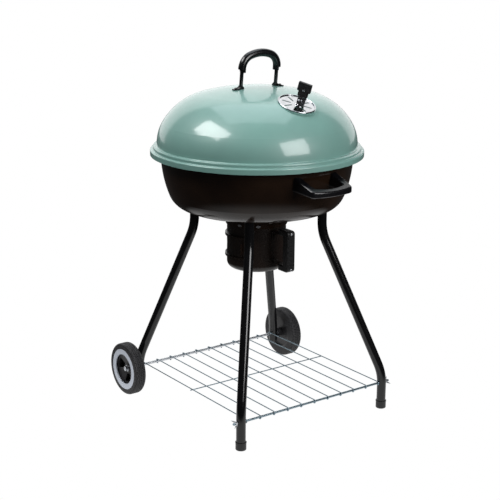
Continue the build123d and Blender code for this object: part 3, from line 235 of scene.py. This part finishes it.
def hub_plastic():
    """Dark grey moulded plastic of the wheel hubs."""
    return tinted(
        "hub_plastic",
        (0.016, 0.015, 0.017),
        (0.35, 0.5),
        spread=0.15,
        patch=40.0,
        grain=1800.0,
        depth=0.00004,
    )


def white_plastic():
    """White moulded plastic of the wheel rings, a little bluish."""
    return tinted(
        "white_plastic",
        (0.60, 0.645, 0.73),
        (0.32, 0.45),
        spread=0.03,
        patch=40.0,
        grain=1500.0,
        depth=0.00002,
    )


def add_math(tree, operation, first, second=0.0):
    """Adds one sum to a node tree; its terms are numbers or other nodes' outputs."""
    node = tree.nodes.new("ShaderNodeMath")
    node.operation = operation
    for socket, term in zip(node.inputs, (first, second)):
        if isinstance(term, float):
            socket.default_value = term
        else:
            tree.links.new(term, socket)
    return node.outputs["Value"]


def tyre_rubber():
    """Black rubber, dull and faintly dusty, with fine lugs across its tread."""
    material = tinted(
        "tyre_rubber",
        (0.0105, 0.010, 0.012),
        (0.5, 0.66),
        spread=0.25,
        patch=60.0,
        grain=1400.0,
        depth=0.00008,
    )
    tree = material.node_tree
    shader = tree.nodes["Principled BSDF"]
    fine = shader.inputs["Normal"].links[0].from_node
    place = tree.nodes.new("ShaderNodeTexCoord")
    split = tree.nodes.new("ShaderNodeSeparateXYZ")
    tree.links.new(place.outputs["Object"], split.inputs["Vector"])
    along = add_math(tree, "SUBTRACT", split.outputs["Y"], AXLE_Y)
    up = add_math(tree, "SUBTRACT", split.outputs["Z"], AXLE_HEIGHT)
    turn = add_math(tree, "ARCTAN2", up, along)
    wave = add_math(tree, "SINE", add_math(tree, "MULTIPLY", turn, TYRE_LUGS))
    squares = [add_math(tree, "MULTIPLY", term, term) for term in (along, up)]
    radius = add_math(tree, "SQRT", add_math(tree, "ADD", *squares))
    tread = add_math(tree, "GREATER_THAN", radius, TREAD_RADIUS)
    lugs = tree.nodes.new("ShaderNodeBump")
    lugs.inputs["Distance"].default_value = LUG_DEPTH
    tree.links.new(add_math(tree, "MULTIPLY", wave, tread), lugs.inputs["Height"])
    tree.links.new(lugs.outputs["Normal"], fine.inputs["Normal"])
    return material


def plated(name, color, roughness, grain=1200.0, depth=0.00001):
    """Plated or bare metal with a fine uneven polish."""
    return tinted(
        name, color, roughness, spread=0.08, patch=60.0, grain=grain, depth=depth, metallic=1.0
    )


MATERIALS = {
    "lid_enamel": lid_enamel(),
    "bowl_enamel": bowl_enamel(),
    "can_enamel": can_enamel(),
    "leg_paint": leg_paint(),
    "black_gloss_plastic": black_gloss_plastic(),
    "black_plastic": black_plastic(),
    "hub_plastic": hub_plastic(),
    "white_plastic": white_plastic(),
    "tyre_rubber": tyre_rubber(),
    "zinc_steel": plated("zinc_steel", (0.60, 0.62, 0.65), (0.22, 0.36)),
    "spring_steel": plated("spring_steel", (0.42, 0.43, 0.45), (0.3, 0.42)),
    "rack_wire": plated("rack_wire", (0.27, 0.35, 0.40), (0.25, 0.4)),
    "vent_chrome": plated("vent_chrome", (0.58, 0.59, 0.61), (0.1, 0.18)),
    "grate_steel": plated("grate_steel", (0.5, 0.5, 0.51), (0.2, 0.34)),
}


def paint_frame():
    """Gives every CAD node the material of its slot in the record."""
    for part in frame["record"]["subparts"]:
        piece = nodes[part["node"]]
        for material_slot in piece.material_slots:
            material_slot.material = MATERIALS[part["material_slot"]]


# ---- Light and floor ---------------------------------------------------------------

FLOOR_HALF = 12.0
FLOOR_HEIGHT = -0.0005
AWAY = (math.sin(VIEW_AZIMUTH), math.cos(VIEW_AZIMUTH), 0.0)  # from the camera, level
# The floor's glow is painted light: a pool of light round the grill that fades to dark further
# out.
FLOOR_BRIGHT_TO = 0.5  # from the grill's middle, in metres
FLOOR_DARK_FROM = 0.9
FLOOR_DARK = 0.03
FLOOR_BRIGHT = 0.9
BACKDROP_EDGE = 0.6  # cosine of the angle between a direction and AWAY
BACKDROP_FULL = 0.7
BACKDROP_BRIGHT = 1.6
STUDIO_DARK = 0.04
OVERHEAD_TINT = (0.88, 0.95, 1.0)
LID_LEFT = (-0.22, -0.1, 0.81)  # the two places on the lid that the softboxes aim at
LID_RIGHT = (-0.07, -0.25, 0.78)
LID_MIDDLE = (0.0, 0.0, 0.8)


def choose_for_camera(tree, seen, other):
    """Mixes two shaders: one for what the camera sees, one for light and reflections."""
    path = tree.nodes.new("ShaderNodeLightPath")
    choose = tree.nodes.new("ShaderNodeMixShader")
    tree.links.new(path.outputs["Is Camera Ray"], choose.inputs["Fac"])
    tree.links.new(other, choose.inputs[1])
    tree.links.new(seen, choose.inputs[2])
    return choose.outputs["Shader"]


def add_floor():
    """A plain white floor; in light and reflections it glows with a painted pool of light round
    the grill, fading into a dark studio.
    """
    mesh = bpy.data.meshes.new("floor")
    corners = [(-FLOOR_HALF, -FLOOR_HALF), (FLOOR_HALF, -FLOOR_HALF)]
    corners += [(FLOOR_HALF, FLOOR_HALF), (-FLOOR_HALF, FLOOR_HALF)]
    mesh.from_pydata([(x, y, FLOOR_HEIGHT) for x, y in corners], [], [(0, 1, 2, 3)])
    floor = bpy.data.objects.new("floor", mesh)
    bpy.context.scene.collection.objects.link(floor)
    material = bpy.data.materials.new("floor")
    material.use_nodes = True
    tree = material.node_tree
    tree.nodes.remove(tree.nodes["Principled BSDF"])
    seen = tree.nodes.new("ShaderNodeEmission")
    glow = tree.nodes.new("ShaderNodeEmission")
    place = tree.nodes.new("ShaderNodeTexCoord")
    reach = tree.nodes.new("ShaderNodeVectorMath")
    reach.operation = "LENGTH"
    tree.links.new(place.outputs["Object"], reach.inputs[0])
    # Painted pool of light: the floor glows brightest round the grill and fades to dark further
    # out; only light and reflections see this, the camera sees an even white.
    fade = tree.nodes.new("ShaderNodeMapRange")
    fade.interpolation_type = "SMOOTHSTEP"
    fade.inputs["From Min"].default_value = FLOOR_BRIGHT_TO
    fade.inputs["From Max"].default_value = FLOOR_DARK_FROM
    fade.inputs["To Min"].default_value = FLOOR_BRIGHT
    fade.inputs["To Max"].default_value = FLOOR_DARK
    tree.links.new(reach.outputs["Value"], fade.inputs["Value"])
    tree.links.new(fade.outputs["Result"], glow.inputs["Strength"])
    above = choose_for_camera(tree, seen.outputs["Emission"], glow.outputs["Emission"])
    # From below the floor is clear, so that the grill's underside can be looked at.
    side = tree.nodes.new("ShaderNodeNewGeometry")
    clear = tree.nodes.new("ShaderNodeBsdfTransparent")
    sides = tree.nodes.new("ShaderNodeMixShader")
    tree.links.new(side.outputs["Backfacing"], sides.inputs["Fac"])
    tree.links.new(above, sides.inputs[1])
    tree.links.new(clear.outputs["BSDF"], sides.inputs[2])
    tree.links.new(sides.outputs["Shader"], tree.nodes["Material Output"].inputs["Surface"])
    mesh.materials.append(material)


def add_softbox(name, place, aim, width, height, power, color=(1.0, 1.0, 1.0)):
    """A rectangular studio light at a place, aimed at a point."""
    data = bpy.data.lights.new(name, "AREA")
    data.shape = "RECTANGLE"
    data.size = width
    data.size_y = height
    data.energy = power
    data.color = color
    light = bpy.data.objects.new(name, data)
    light.location = place
    light.rotation_euler = (Vector(aim) - Vector(place)).to_track_quat("-Z", "Y").to_euler()
    bpy.context.scene.collection.objects.link(light)


def add_studio():
    """A white backdrop for the camera; in reflections it stands only behind the grill."""
    world = bpy.data.worlds.new("studio")
    bpy.context.scene.world = world
    world.use_nodes = True
    tree = world.node_tree
    seen = tree.nodes["Background"]
    seen.inputs["Color"].default_value = (1.0, 1.0, 1.0, 1.0)
    glow = tree.nodes.new("ShaderNodeBackground")
    place = tree.nodes.new("ShaderNodeTexCoord")
    behind = tree.nodes.new("ShaderNodeVectorMath")
    behind.operation = "DOT_PRODUCT"
    behind.inputs[1].default_value = AWAY
    tree.links.new(place.outputs["Generated"], behind.inputs[0])
    fade = tree.nodes.new("ShaderNodeMapRange")
    fade.interpolation_type = "SMOOTHSTEP"
    fade.inputs["From Min"].default_value = BACKDROP_EDGE
    fade.inputs["From Max"].default_value = BACKDROP_FULL
    fade.inputs["To Min"].default_value = STUDIO_DARK
    fade.inputs["To Max"].default_value = BACKDROP_BRIGHT
    tree.links.new(behind.outputs["Value"], fade.inputs["Value"])
    tree.links.new(fade.outputs["Result"], glow.inputs["Strength"])
    surface = choose_for_camera(tree, seen.outputs["Background"], glow.outputs["Background"])
    tree.links.new(surface, tree.nodes["World Output"].inputs["Surface"])


# ---- Scene -------------------------------------------------------------------------

add_camera()
paint_frame()
add_floor()
add_studio()
add_softbox("softbox_left", (-1.43, 0.39, 2.33), LID_LEFT, 1.4, 0.75, 40.0)
add_softbox("overhead", (0.25, 0.35, 2.7), LID_MIDDLE, 1.8, 1.8, 22.0, OVERHEAD_TINT)
add_softbox("softbox_right", (0.24, -2.09, 1.5), LID_RIGHT, 1.15, 1.3, 40.0)
bpy.context.scene.view_settings.view_transform = "Standard"
